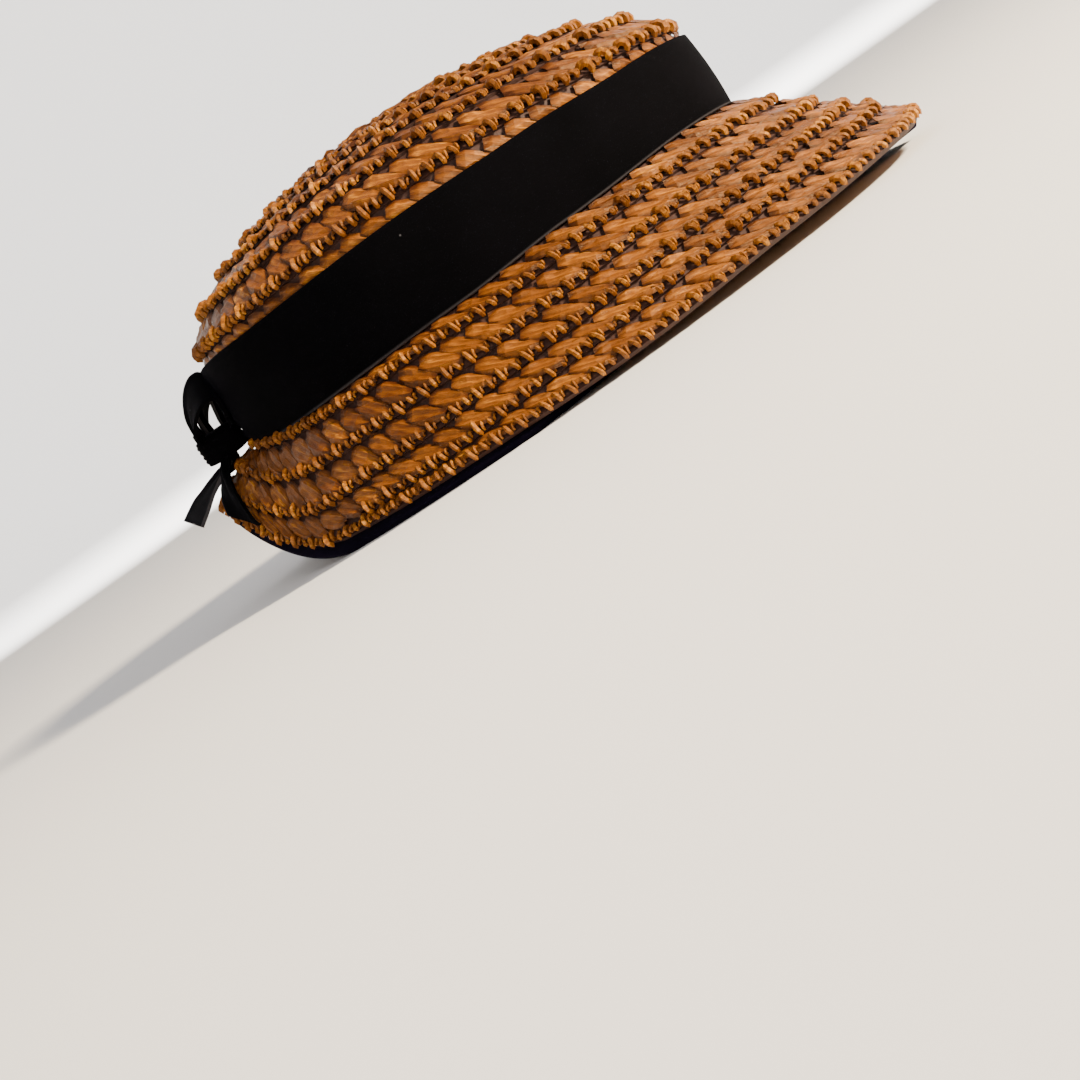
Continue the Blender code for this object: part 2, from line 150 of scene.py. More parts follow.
def band_lower(angle):
    return BAND_FOOT_Z + RIBBON_WIDTH * eased(BAND_DEGREES, BAND_LOWER, angle)


def band_upper(angle):
    return BAND_FOOT_Z + RIBBON_WIDTH * eased(BAND_DEGREES, BAND_UPPER, angle)


def unit(vectors):
    return vectors / np.linalg.norm(vectors, axis=-1, keepdims=True)


def stack(x, y, z):
    """Points from arrays of x, y and z, moved along so that the crown's middle is in its place."""
    x, y, z = np.broadcast_arrays(x + CROWN_X, y, z)
    return np.stack((x, y, z), axis=-1)


def crown_surface(angle, reach):
    """Reach 0 is the top of the dome and 1 is its foot, level with the ribbon's upper edge."""
    turn = np.minimum(reach, 1.0) * math.pi / 2.0
    spread = np.sin(turn)
    level = np.clip(np.cos(turn), 0.0, 1.0) ** DOME_FULLNESS
    foot_z = band_upper(angle) - ROW_STAND
    return stack(
        CROWN_TOP_SHIFT * np.cos(turn) ** 2 + (CROWN_HALF_LENGTH - DOME_INSET) * spread * np.cos(angle),
        (CROWN_HALF_WIDTH - DOME_INSET) * spread * np.sin(angle),
        foot_z + (CROWN_TOP_Z - foot_z) * level - WALL_DROP * np.maximum(reach - 1.0, 0.0),
    )


def rim_rise(angle):
    """Lift of the rim off the surface that it rests on."""
    from_back = np.abs(np.degrees(angle) % 360.0 - 180.0)
    arch = BACK_ARCH_RISE * np.cos(np.radians(90.0 * np.clip(from_back / BACK_ARCH_HALF_DEGREES, 0, 1))) ** 2
    return arch + FRONT_RISE * eased(FRONT_RISE_DEGREES, FRONT_RISE_EASE, angle)


def rim_surface(angle):
    """Edge of the straw."""
    height = ROLL_HEIGHT * eased(STRAW_EDGE_DEGREES, STRAW_EDGE_HEIGHT, angle) + rim_rise(angle)
    return stack(RIM_CENTRE_X + RIM_HALF_LENGTH * np.cos(angle), RIM_HALF_WIDTH * np.sin(angle), height)


def brim_surface(angle, share):
    """Share 0 is where the brim leaves the crown and 1 is the straw's edge."""
    foot = stack(CROWN_HALF_LENGTH * np.cos(angle), CROWN_HALF_WIDTH * np.sin(angle),
                 band_lower(angle) - 2.0 * SEAT_GAP)
    edge = rim_surface(angle)
    along = unit(edge - foot)
    outwards = unit(np.stack((np.cos(angle) * CROWN_HALF_WIDTH, np.sin(angle) * CROWN_HALF_LENGTH,
                              np.zeros_like(angle)), axis=-1))
    up = unit(outwards - along * np.sum(along * outwards, axis=-1, keepdims=True))
    share = np.asarray(share)[..., None]
    return foot + (edge - foot) * share + up * (BRIM_SWELL * 4.0 * share * (1.0 - share))


SURFACE_STEP = 0.015


def lifted(surface, angle, place, height):
    """Points at a height off a surface."""
    down = surface(angle, place + SURFACE_STEP) - surface(angle, np.maximum(place - SURFACE_STEP, 0.0))
    beside = surface(angle + SURFACE_STEP, place) - surface(angle - SURFACE_STEP, place)
    normal = unit(np.cross(down, beside))
    outwards = np.stack((np.cos(angle), np.sin(angle), np.full_like(angle, 0.3)), axis=-1)
    facing = np.sign(np.sum(normal * outwards, axis=-1, keepdims=True))
    return surface(angle, place) + normal * facing * np.asarray(height)[..., None]


print("top of the crown", crown_surface(np.zeros(1), np.full(1, 0.01)).round(4).tolist())

# %% [markdown]
# Shaders are written as sums. A small class wraps a node's output, so that straw * 0.5 + 0.1 adds two
# Math nodes, and one method adds every other kind of node. Numbers that never change over a surface
# go straight on the shader's sockets.


# %% A material as an expression
class Signal:
    """One output of a node. Arithmetic on it adds Math nodes."""

    def __init__(self, finish, socket):
        self.finish = finish
        self.socket = socket

    def _maths(self, operation, first, second):
        return self.finish.node("ShaderNodeMath", {"operation": operation}, {0: first, 1: second})

    def __add__(self, other):
        return self._maths("ADD", self, other)

    __radd__ = __add__

    def __sub__(self, other):
        return self._maths("SUBTRACT", self, other)

    def __rsub__(self, other):
        return self._maths("SUBTRACT", other, self)

    def __mul__(self, other):
        return self._maths("MULTIPLY", self, other)

    __rmul__ = __mul__


class Finish:
    """A material that is built up from signals."""

    def __init__(self, name):
        self.material = bpy.data.materials.new(name)
        self.material.use_nodes = True
        self.tree = self.material.node_tree
        self.shader = self.tree.nodes["Principled BSDF"]

    def put(self, socket, value):
        """Links a signal to a socket, or sets the socket's own value."""
        if isinstance(value, Signal):
            self.tree.links.new(value.socket, socket)
        elif isinstance(value, tuple) and len(value) == 3 and socket.type == "RGBA":
            socket.default_value = (*value, 1.0)
        else:
            socket.default_value = value

    def node(self, kind, settings=None, values=None, output=0):
        """Adds a node: its settings first, then its sockets by name or number."""
        made = self.tree.nodes.new(kind)
        for name, value in (settings or {}).items():
            if name == "stops":
                for stop, (place, colour) in zip(made.color_ramp.elements, value):
                    stop.position = place
                    stop.color = (*colour, 1.0)
            else:
                setattr(made, name, value)
        for name, value in (values or {}).items():
            self.put(made.inputs[name], value)
        return Signal(self, made.outputs[output])

    def mix(self, factor, first, second, blend="MIX"):
        """A colour between two, by a factor from 0 to 1."""
        return self.node("ShaderNodeMix", {"data_type": "RGBA", "blend_type": blend, "clamp_factor": True},
                         {0: factor, 6: first, 7: second}, output=2)

    def noise(self, vector, scale, detail=2.0, roughness=0.5):
        return self.node("ShaderNodeTexNoise", None,
                         {"Vector": vector, "Scale": scale, "Detail": detail, "Roughness": roughness})

    def stretched(self, vector, size):
        return self.node("ShaderNodeMapping", None, {"Vector": vector, "Scale": size})

    def bump(self, height, strength, distance):
        self.put(self.shader.inputs["Normal"], self.node(
            "ShaderNodeBump", None, {"Height": height, "Strength": strength, "Distance": distance}))

    def set(self, **sockets):
        """Sets sockets of the shader, with underscores for the spaces in their names."""
        for name, value in sockets.items():
            self.put(self.shader.inputs[name.replace("_", " ")], value)


# %% [markdown]
# Plaited wheat straw is glossy, golden in the light and brown where it is turned away. Each leaf of
# the plait is split straw with fine fibres along it, and no two leaves have the same tone, so each
# copy of a leaf carries its own number, "tone", which the material reads. The fibres follow the
# leaf's own UV map, whose U runs along the straw.


# %% Straw
FIBRE_STRETCH = (1.5, 26.0, 1.0)      # fine and long along the straw
WANDER_STRETCH = (2.0, 3.0, 1.0)
STRAND_WAVES = 17.0
STRAND_WANDER = 11.0
STRAND_PHASE = 9.0                    # how far the strands shift from leaf to leaf
STAIN_SCALE = 55.0
FIRST_GOLD = 0.62                     # level at which the straw starts to turn light
FIRST_GLINT = 0.66
GLINT_COLOUR = (0.90, 0.52, 0.14)


def straw_finish(name, dark, middle, light, glint, painted_crevice_shade):
    """The last argument is how much the ends and sides of a leaf are darkened where they slip under their
    neighbours: painted shade for the crevices between the leaves.
    """
    straw = Finish(name)
    along = straw.node("ShaderNodeUVMap", {"uv_map": "leaf"})
    tone = straw.node("ShaderNodeAttribute", {"attribute_name": "tone"}, output=2)
    place = straw.node("ShaderNodeTexCoord", output=3)
    fibres = straw.noise(straw.stretched(along, FIBRE_STRETCH), 1.0, detail=3.0, roughness=0.65)
    stains = straw.noise(place, STAIN_SCALE, detail=2.0)
    length = straw.node("ShaderNodeSeparateXYZ", None, {0: along}, output=0)
    across = straw.node("ShaderNodeSeparateXYZ", None, {0: along}, output=1)
    wander = straw.noise(straw.stretched(along, WANDER_STRETCH), 1.3)
    phase = across * STRAND_WAVES + wander * STRAND_WANDER + tone * STRAND_PHASE
    strands = straw.node("ShaderNodeMath", {"operation": "SINE"}, {0: phase})
    ridges = strands * 0.12 + fibres
    level = tone * 0.36 + stains * 0.45 + ridges * 1.15 - 0.55
    # painted shade: darker towards the ends and sides of each leaf, for the crevices where it slips under
    # its neighbours
    crevice_mask = ((length - 0.5) * (length - 0.5) + (across - 0.5) * (across - 0.5)) * 4.0 - 0.50
    level = level - straw.node("ShaderNodeClamp", None, {"Value": crevice_mask}) * painted_crevice_shade
    body = straw.mix(level, dark, middle)
    lit = straw.mix((level - FIRST_GOLD) * 2.2, body, light)
    colour = straw.mix((fibres - FIRST_GLINT) * glint, lit, GLINT_COLOUR)
    straw.set(Base_Color=colour, Roughness=0.26 + fibres * 0.26)
    straw.set(Specular_IOR_Level=0.42, Specular_Tint=(1.0, 0.78, 0.50))
    straw.bump(ridges, 0.8, 0.0004)
    return straw.material


straw = straw_finish(
    "straw", dark=(0.045, 0.0095, 0.0008), middle=(0.300, 0.092, 0.0070), light=(0.62, 0.26, 0.026),
    glint=1.2, painted_crevice_shade=0.70)
straw_knot = straw_finish(
    "straw_knot", dark=(0.060, 0.0130, 0.0012), middle=(0.360, 0.118, 0.0090), light=(0.74, 0.34, 0.042),
    glint=1.6, painted_crevice_shade=0.0)
print("straw:", straw.name, straw_knot.name)


# %% [markdown]
# Behind the leaves lies the rest of the plait, its colour painted shade: a dark red-brown with stains,
# for straw in the shade. It is the shape of the imported solid, so it closes every gap between the
# leaves, and its inner side is the plain inside of the bonnet.


# %% Shaded straw and the inside
SHADE_STAINS = 700.0
INSIDE_GRAIN = 120.0
INSIDE_STRETCH = (1.0, 1.0, 9.0)      # the inside's grain runs round the bonnet


def shaded_finish():
    shade = Finish("straw_in_shade")
    place = shade.node("ShaderNodeTexCoord", output=3)
    stains = shade.noise(place, SHADE_STAINS, detail=3.0)
    # painted shade: the plait behind the leaves is coloured near black red-brown, as straw lying in the
    # shade
    shade.set(Base_Color=shade.mix(stains, (0.010, 0.0020, 0.0004), (0.048, 0.0100, 0.0018)),
              Roughness=0.65 + stains * 0.2)
    shade.bump(stains, 0.6, 0.0004)
    return shade.material


def inside_finish():
    inside = Finish("straw_inside")
    place = inside.node("ShaderNodeTexCoord", output=3)
    grain = inside.noise(inside.stretched(place, INSIDE_STRETCH), INSIDE_GRAIN, detail=4.0)
    inside.set(Base_Color=inside.mix(grain, (0.22, 0.10, 0.035), (0.52, 0.27, 0.10)),
               Roughness=0.5 + grain * 0.2)
    inside.bump(grain, 0.7, 0.0006)
    return inside.material


straw_shade = shaded_finish()
straw_inside = inside_finish()


# %% [markdown]
# Velvet drinks the light. Seen square on it is almost black, and its pile turns a little lighter at
# grazing angles, which is what the shader's sheen does. The pile lies in faint patches where it was
# pressed. A ribbon's woven edges are thin and bare, a greyish line, so the map "ribbon" gives the
# place across the ribbon in V. A few specks of lint cling to it.


# %% Velvet
SELVEDGE_SHARE = 0.030        # share of the ribbon's width that is bare at its edge
SELVEDGE_FADE = 0.015
SELVEDGE_COLOUR = (0.045, 0.042, 0.046)
PILE_SCALE = 2600.0
PATCH_SCALE = 38.0
LINT_SCALE = 62.0
LINT_SIZE = 0.028
LINT_COLOUR = (0.22, 0.22, 0.25)


def velvet_finish(name, deep, pressed, sheen, selvedge):
    velvet = Finish(name)
    place = velvet.node("ShaderNodeTexCoord", output=3)
    pile = velvet.noise(place, PILE_SCALE, detail=2.0)
    patches = velvet.noise(place, PATCH_SCALE, detail=3.0)
    colour = velvet.mix((patches - 0.35) * 1.3, deep, pressed)
    lint = velvet.node("ShaderNodeTexVoronoi", {"feature": "F1"}, {"Vector": place, "Scale": LINT_SCALE})
    speck = (LINT_SIZE - lint) * 60.0
    colour = velvet.mix(speck * 0.22, colour, LINT_COLOUR)
    if selvedge:
        ribbon_map = velvet.node("ShaderNodeUVMap", {"uv_map": "ribbon"})
        across = velvet.node("ShaderNodeSeparateXYZ", None, {0: ribbon_map}, output=1)
        bare = (SELVEDGE_SHARE - across) * (1.0 / SELVEDGE_FADE)
        colour = velvet.mix(bare * selvedge, colour, SELVEDGE_COLOUR)
    velvet.set(Base_Color=colour, Roughness=0.93)
    velvet.set(Specular_IOR_Level=0.03, Sheen_Weight=sheen, Sheen_Roughness=0.35,
               Sheen_Tint=(0.55, 0.52, 0.85, 1.0))
    velvet.bump(pile, 0.5, 0.0003)
    return velvet.material


ribbon_velvet = velvet_finish(
    "ribbon_velvet", deep=(0.0006, 0.0006, 0.0010), pressed=(0.0018, 0.0017, 0.0026), sheen=0.012,
    selvedge=0.6)
facing_velvet = velvet_finish(
    "facing_velvet", deep=(0.0022, 0.0014, 0.0055), pressed=(0.0060, 0.0042, 0.0130), sheen=0.03,
    selvedge=0.0)
print("velvet:", ribbon_velvet.name, facing_velvet.name)

# %% [markdown]
# The plait repeats two things all the way round. Broad leaves of straw lie slantwise across the row,
# each tucked under its neighbour, and along the row's lower edge the straws fold back on themselves
# in pairs of small upright loops. Each is modelled once, lying flat with the row along X and
# down the row along -Y, and then copied along every row. The leaf starts as a grid: its columns are
# pinched towards the ends, its middle is raised, it is turned slantwise and given a thickness.

# %% Helpers for modelling
DOUBLES = 0.00001             # points closer than this are one


def primitive(add, name, **sizes):
    """The one new piece that an operator adds, with nothing else selected."""
    bpy.ops.object.select_all(action="DESELECT")
    add(**sizes)
    piece = bpy.context.object
    piece.name = piece.data.name = name
    return piece


def start_editing(piece):
    bpy.ops.object.select_all(action="DESELECT")
    bpy.context.view_layer.objects.active = piece
    piece.select_set(True)
    bpy.ops.object.mode_set(mode="EDIT")
    bpy.ops.mesh.select_mode(type="VERT")
    bpy.ops.mesh.select_all(action="DESELECT")
    return bmesh.from_edit_mesh(piece.data)


def pick(piece, wanted):
    """Selects the vertices whose place is wanted, and no others."""
    bpy.ops.mesh.select_all(action="DESELECT")
    bm = bmesh.from_edit_mesh(piece.data)
    for vertex in bm.verts:
        vertex.select = wanted(vertex.co)
    bm.select_flush_mode()
    bmesh.update_edit_mesh(piece.data)


def pick_all():
    bpy.ops.mesh.select_all(action="SELECT")


def stop_editing():
    bpy.ops.object.mode_set(mode="OBJECT")


def face_outwards(piece, merge=None):
    """Merges doubles closer than merge, if it is given, and points every face outwards."""
    start_editing(piece)
    pick_all()
    if merge:
        bpy.ops.mesh.remove_doubles(threshold=merge)
        pick_all()
    bpy.ops.mesh.normals_make_consistent(inside=False)
    stop_editing()


def drop_maps(mesh):
    while mesh.uv_layers:
        mesh.uv_layers.remove(mesh.uv_layers[0])


def add_thickness(piece, thickness):
    wall = piece.modifiers.new("wall", "SOLIDIFY")
    wall.thickness = thickness
    wall.offset = -1.0
    bpy.context.view_layer.objects.active = piece
    bpy.ops.object.modifier_apply(modifier=wall.name)


class Shape:
    """A modelled piece as arrays, ready to be copied: points, faces and the map of each corner."""

    def __init__(self, piece, map_name):
        mesh = piece.data
        self.points = np.array([vertex.co[:] for vertex in mesh.vertices])
        self.faces = [tuple(face.vertices) for face in mesh.polygons]
        self.map = np.array([corner.uv[:] for corner in mesh.uv_layers[map_name].data])
        bpy.data.objects.remove(piece, do_unlink=True)


# %% One leaf of straw
LEAF_LENGTH = 0.0142
LEAF_WIDTH = 0.0078
LEAF_COLUMNS = 5
LEAF_ROWS = 4
LEAF_TILT_DEGREES = -34.0
LEAF_SHINGLE_DEGREES = 4.0
LEAF_TWIST_DEGREES = 15.0     # each end is turned this much about the leaf's length
LEAF_THICKNESS = 0.00035
# Width of each column of the leaf's points, as a share of the leaf's width
LEAF_OUTLINE = (0.72, 1.00, 1.02, 0.98, 0.86, 0.50)
# Height of each line of points across the leaf, from its lower to its upper side: a crease, a slope
# and a second, lower crease
LEAF_SECTION = (0.0, 0.00125, 0.00075, 0.00095, 0.0)
LEAF_CROWN = 0.0004           # the leaf's middle above its two ends


def map_by_place(piece, length, width):
    """UV along and across the piece, from 0 to 1."""
    layer = piece.data.uv_layers.new(name="leaf")
    for loop in piece.data.loops:
        place = piece.data.vertices[loop.vertex_index].co
        layer.data[loop.index].uv = (place.x / length + 0.5, place.y / width + 0.5)


def model_leaf():
    leaf = primitive(bpy.ops.mesh.primitive_grid_add, "leaf", x_subdivisions=LEAF_COLUMNS,
                     y_subdivisions=LEAF_ROWS, size=1.0)
    leaf.scale = (LEAF_LENGTH, LEAF_WIDTH, 1.0)
    bpy.ops.object.transform_apply(location=False, rotation=False, scale=True)
    drop_maps(leaf.data)
    map_by_place(leaf, LEAF_LENGTH, LEAF_WIDTH)
    start_editing(leaf)
    for line, height in enumerate(LEAF_SECTION):
        place = LEAF_WIDTH * (line / LEAF_ROWS - 0.5)
        pick(leaf, lambda co: abs(co.y - place) < LEAF_WIDTH * 0.01)
        bpy.ops.transform.translate(value=(0.0, 0.0, height))
    pick(leaf, lambda co: abs(co.x) < LEAF_LENGTH * 0.4)
    bpy.ops.transform.translate(value=(0.0, 0.0, LEAF_CROWN))
    for column, share in enumerate(LEAF_OUTLINE):
        place = LEAF_LENGTH * (column / LEAF_COLUMNS - 0.5)
        pick(leaf, lambda co: abs(co.x - place) < LEAF_LENGTH * 0.01)
        bpy.ops.transform.resize(value=(1.0, share, 1.0), center_override=(place, 0.0, 0.0))
        twist = LEAF_TWIST_DEGREES * 2.0 * (column / LEAF_COLUMNS - 0.5)
        bpy.ops.transform.rotate(value=math.radians(twist), orient_axis="X",
                                 center_override=(place, 0.0, 0.0))
    pick_all()
    bpy.ops.transform.rotate(value=math.radians(LEAF_SHINGLE_DEGREES), orient_axis="X",
                             center_override=(0.0, 0.0, 0.0))
    bpy.ops.transform.rotate(value=math.radians(-LEAF_TILT_DEGREES), orient_axis="Z",
                             center_override=(0.0, 0.0, 0.0))
    stop_editing()
    add_thickness(leaf, LEAF_THICKNESS)
    return Shape(leaf, "leaf")


leaf_shape = model_leaf()
print("a leaf:", len(leaf_shape.faces), "faces, from", leaf_shape.points.min(axis=0).round(4).tolist(),
      "to", leaf_shape.points.max(axis=0).round(4).tolist())

# %% [markdown]
# A fold-back knot is two little straps of straw that rise out of the plait and go back into it, side
# by side. A ring of five corners is spun through half a turn, which makes one strap with a hole
# below it, and the second is a copy, set a little further down the row.

# %% One pair of knots
KNOT_RADIUS = 0.00078         # half a strap's width
KNOT_ARCH = 0.00132           # from the middle of the hole to the middle of the strap
KNOT_CORNERS = 5
KNOT_STEPS = 5
KNOT_SPACING = 0.00175
KNOT_SECOND_SIZE = 0.66       # the second strap of a pair is smaller and lies lower
KNOT_LEAN_DEGREES = 14.0


def model_knot():
    knot = primitive(bpy.ops.mesh.primitive_circle_add, "knot", vertices=KNOT_CORNERS,
                     radius=KNOT_RADIUS, fill_type="NGON")
    start_editing(knot)
    pick_all()
    bpy.ops.transform.translate(value=(0.0, KNOT_ARCH, 0.0))
    pick_all()
    bpy.ops.mesh.spin(steps=KNOT_STEPS, angle=math.pi, center=(0.0, 0.0, 0.0), axis=(-1.0, 0.0, 0.0))
    pick_all()
    bpy.ops.mesh.normals_make_consistent(inside=False)
    bpy.ops.transform.rotate(value=math.radians(KNOT_LEAN_DEGREES), orient_axis="Z",
                             center_override=(0.0, 0.0, 0.0))
    bpy.ops.transform.translate(value=(-KNOT_SPACING / 2.0, 0.0, 0.0))
    bpy.ops.mesh.duplicate()
    bpy.ops.transform.translate(value=(KNOT_SPACING, -KNOT_RADIUS * 0.5, 0.0))
    bpy.ops.transform.resize(value=(KNOT_SECOND_SIZE,) * 3, center_override=(KNOT_SPACING / 2.0, 0.0, 0.0))
    bpy.ops.transform.rotate(value=math.radians(-2.6 * KNOT_LEAN_DEGREES), orient_axis="Z",
                             center_override=(KNOT_SPACING / 2.0, 0.0, 0.0))
    stop_editing()
    drop_maps(knot.data)
    map_by_place(knot, KNOT_RADIUS * 4.0, KNOT_ARCH * 3.0)
    return Shape(knot, "leaf")


knot_shape = model_knot()
print("a pair of knots:", len(knot_shape.faces), "faces, from",
      knot_shape.points.min(axis=0).round(4).tolist(),
      "to", knot_shape.points.max(axis=0).round(4).tolist())

# %% [markdown]
# A row runs once round the bonnet between its upper and its lower edge. Copies are set along it by
# distance, so that they keep their real spacing on the long sides and the tight ends alike. A leaf is
# stretched to fill the height of its row. A knot keeps its size and sits on the row's lower edge, where
# it stands out over the next row. Small differences in size, turn and tone keep the work from looking
# like a machine's, and they are drawn from one seeded source, so that every run gives the same hat.

# %% Rows
PRESSED_HEIGHT = 0.0010       # the straw that the ribbon presses down stands out no further
PRESS_REACH = 0.04
chance = np.random.default_rng(28)
ROUND = np.linspace(0.0, 2.0 * math.pi, 1441)
LEAF_PITCH = 0.0093
KNOTS_PER_LEAF = 2
LEAST_ROW = 0.0034            # the knots above a row that is narrower than this are left out
LEAST_LEAF = 0.0014
LEAF_WRINKLE = 0.00020
LEAF_TURN_DEGREES = 7.0       # leaves and knots differ by up to these turns
KNOT_TURN_DEGREES = 16.0
LEAF_SHARE = 0.92             # share of the row's height that the leaves fill
LEAF_TOP_SHARE = 0.01         # where their upper ends lie
LEAF_LIFT = 0.0005
LEAF_FULL_ROW = 0.010         # in a row narrower than this the leaves lie flatter
KNOT_SEAT = 1.25              # how far above the row's edge a knot's middle sits, in arches
KNOT_LIFT = 0.0005
KNOT_SIZES = (1.36, 1.00)     # large and small knots take turns


def constant(value):
    return lambda angle: np.full_like(np.asarray(angle, dtype=float), value)


class Row:
    """One row of the plait: its surface, and its upper and lower edge as places on it by angle."""

    def __init__(self, surface, upper, lower, knot_size, knots=True, pressed_from=None):
        self.surface = surface
        self.upper = upper
        self.lower = lower
        self.knot_size = knot_size
        self.knots = knots
        self.pressed_from = pressed_from
        middle = surface(ROUND, (upper(ROUND) + lower(ROUND)) / 2.0)
        steps = np.linalg.norm(np.diff(middle, axis=0), axis=1)
        self.distance = np.concatenate(((0.0,), np.cumsum(steps)))
        self.length = self.distance[-1]
        edge = surface(ROUND, lower(ROUND)) - surface(ROUND, upper(ROUND))
        self.heights = np.linalg.norm(edge, axis=1)

    def angle_at(self, distance):
        return np.interp(distance % self.length, self.distance, ROUND)

    def height_at(self, angle):
        return np.interp(angle % (2.0 * math.pi), ROUND, self.heights)

    def point(self, distance, share, height):
        """Points at a distance along the row, a share of its height down it, and a height off it."""
        angle = self.angle_at(distance)
        upper = self.upper(angle)
        place = upper + (self.lower(angle) - upper) * share
        stand = ROW_TUCK + (ROW_STAND - ROW_TUCK) * np.clip(share, 0.0, 1.0)
        height = stand + height
        if self.pressed_from:
            press = np.clip((place - self.pressed_from) / PRESS_REACH, 0.0, 1.0)
            height = height + (np.minimum(height, PRESSED_HEIGHT) - height) * press
        return lifted(self.surface, angle, place, height)


class Pile:
    """Copies of shapes that become one mesh."""

    def __init__(self):
        self.points = []
        self.faces = []
        self.maps = []
        self.tones = []
        self.slots = []
        self.count = 0

    def add(self, points, shape_faces, corner_map, tones, slot):
        """Points is copies by points by 3. Each copy has a tone."""
        copies, size = points.shape[0], points.shape[1]
        for copy in range(copies):
            start = self.count + copy * size
            self.faces += [tuple(start + corner for corner in face) for face in shape_faces]
        self.points.append(points.reshape(-1, 3))
        self.maps.append(np.tile(corner_map, (copies, 1)))
        self.tones.append(np.repeat(tones, size))
        self.slots += [slot] * (copies * len(shape_faces))
        self.count += copies * size

    def mesh(self, name, materials):
        mesh = bpy.data.meshes.new(name)
        mesh.from_pydata(np.concatenate(self.points).tolist(), [], self.faces)
        layer = mesh.uv_layers.new(name="leaf")
        layer.data.foreach_set("uv", np.concatenate(self.maps).astype(np.float32).ravel())
        tone = mesh.attributes.new("tone", "FLOAT", "POINT")
        tone.data.foreach_set("value", np.concatenate(self.tones).astype(np.float32))
        for material in materials:
            mesh.materials.append(material)
        mesh.polygons.foreach_set("material_index", np.array(self.slots, dtype=np.int32))
        mesh.update()
        return mesh


def spread(count, amount):
    return chance.uniform(-amount, amount, count)[:, None]


def turned(points, angles):
    """Each copy's points, turned in the plane of the row."""
    cosine, sine = np.cos(angles), np.sin(angles)
    return points[:, 0] * cosine - points[:, 1] * sine, points[:, 0] * sine + points[:, 1] * cosine


def wrinkles(count):
    """Small dents that differ from leaf to leaf. A leaf's upper and under side are dented alike."""
    one_side = len(leaf_shape.points) // 2
    return np.tile(chance.normal(0.0, LEAF_WRINKLE, (count, one_side)), (1, 2))


def lay_leaves(pile, row):
    count = round(row.length / LEAF_PITCH)
    starts = (np.arange(count) * row.length / count)[:, None] + spread(count, LEAF_PITCH * 0.06)
    heights = row.height_at(row.angle_at(starts[:, 0]))
    kept = heights > LEAST_LEAF
    starts, heights = starts[kept], heights[kept][:, None]
    count = len(starts)
    x, y = turned(leaf_shape.points, np.radians(spread(count, LEAF_TURN_DEGREES)))
    x = x * (1.0 + spread(count, 0.08))
    top, reach = leaf_shape.points[:, 1].max(), np.ptp(leaf_shape.points[:, 1])
    share = LEAF_TOP_SHARE + (top - y) / reach * LEAF_SHARE + spread(count, 0.02)
    flatter = np.clip(heights / LEAF_FULL_ROW, 0.3, 1.0)
    z = leaf_shape.points[:, 2] * (1.0 + spread(count, 0.35)) * flatter + LEAF_LIFT + spread(count, 0.0002)
    z = z + wrinkles(count) * flatter
    points = row.point(starts + x, share, z)
    tones = chance.uniform(0.0, 1.0, count)
    pile.add(points, leaf_shape.faces, leaf_shape.map, tones, 0)
    return count


def lay_knots(pile, row, next_row=None):
    """Knots along a row's lower edge, left out where the row below has run out."""
    count = round(row.length / LEAF_PITCH) * KNOTS_PER_LEAF
    starts = (np.arange(count) * row.length / count)[:, None] + spread(count, LEAF_PITCH * 0.05)
    size = row.knot_size * np.resize(KNOT_SIZES, count)[:, None] * (1.0 + spread(count, 0.12))
    angles = row.angle_at(starts[:, 0])
    kept = np.ones(count, dtype=bool) if next_row is None else next_row.height_at(angles) > LEAST_ROW
    heights = row.height_at(angles)[kept][:, None]
    starts, size = starts[kept], size[kept]
    count = len(starts)
    x, y = turned(knot_shape.points, np.radians(spread(count, KNOT_TURN_DEGREES)))
    down = KNOT_ARCH * row.knot_size * KNOT_SEAT - y * size + spread(count, 0.0002)
    share = 1.0 - down / heights
    z = KNOT_LIFT + knot_shape.points[:, 2] * size * (1.0 + spread(count, 0.18))
    points = row.point(starts + x * (0.94 + 0.10 * size), share, z)
    pile.add(points, knot_shape.faces, knot_shape.map, chance.uniform(0.0, 1.0, count), 1)
    return count

# %% [markdown]
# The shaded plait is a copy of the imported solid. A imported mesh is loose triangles, so its doubles are
# merged first, and its faces are sorted by where they point: outwards is the shaded plait, and
# inwards is the plain inside.


# %% The shaded plait
BACKING_RISE = 0.06           # rise of the outward direction at the bonnet's edge
INWARDS = 0.62                # how squarely a face looks inwards before it counts as the inside


def add_backing(pile, node):
    """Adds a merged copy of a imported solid: slot 2 is its outside and slot 3 its inside."""
    bm = bmesh.new()
    bm.from_mesh(nodes[node].data)
    bmesh.ops.remove_doubles(bm, verts=bm.verts, dist=DOUBLES)
    bm.normal_update()
    points = np.array([vertex.co[:] for vertex in bm.verts])
    outer, inner = [], []
    for face in bm.faces:
        middle = face.calc_center_median()
        outwards = Vector((middle.x - CROWN_X, middle.y, BACKING_RISE)).normalized()
        side = outer if face.normal.dot(outwards) > -INWARDS else inner
        side.append(tuple(vertex.index for vertex in face.verts))
    bm.free()
    tone = np.full(1, 0.5)
    for faces, slot in ((outer, 2), (inner, 3)):
        corners = sum(len(face) for face in faces)
        pile.add(points[None], faces, np.zeros((corners, 2)), tone, slot)


STRAW_SLOTS = (straw, straw_knot, straw_shade, straw_inside)


def hand_over(piece, node):
    """Hangs the piece on its body, hides the solid that it stands for and prints its count of faces."""
    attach(piece, "root")
    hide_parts(node)
    print(piece.name, len(piece.data.polygons), "faces")


def add_braid(name, node, pile):
    piece = bpy.data.objects.new(name, pile.mesh(name, STRAW_SLOTS))
    bpy.context.scene.collection.objects.link(piece)
    hand_over(piece, node)


# %% [markdown]
# On the crown, each row's upper edge is the lower edge of the row above it, and the last row closes on
# the top. The lowest row runs down behind the ribbon, so only the tops of its leaves show and it needs
# no knots.


# %% Crown braid
def dome_edge(row):
    side, end = DOME_ROWS[row]
    return lambda angle: 2.0 * np.arcsin(side + (end - side) * np.cos(angle) ** 2) / math.pi


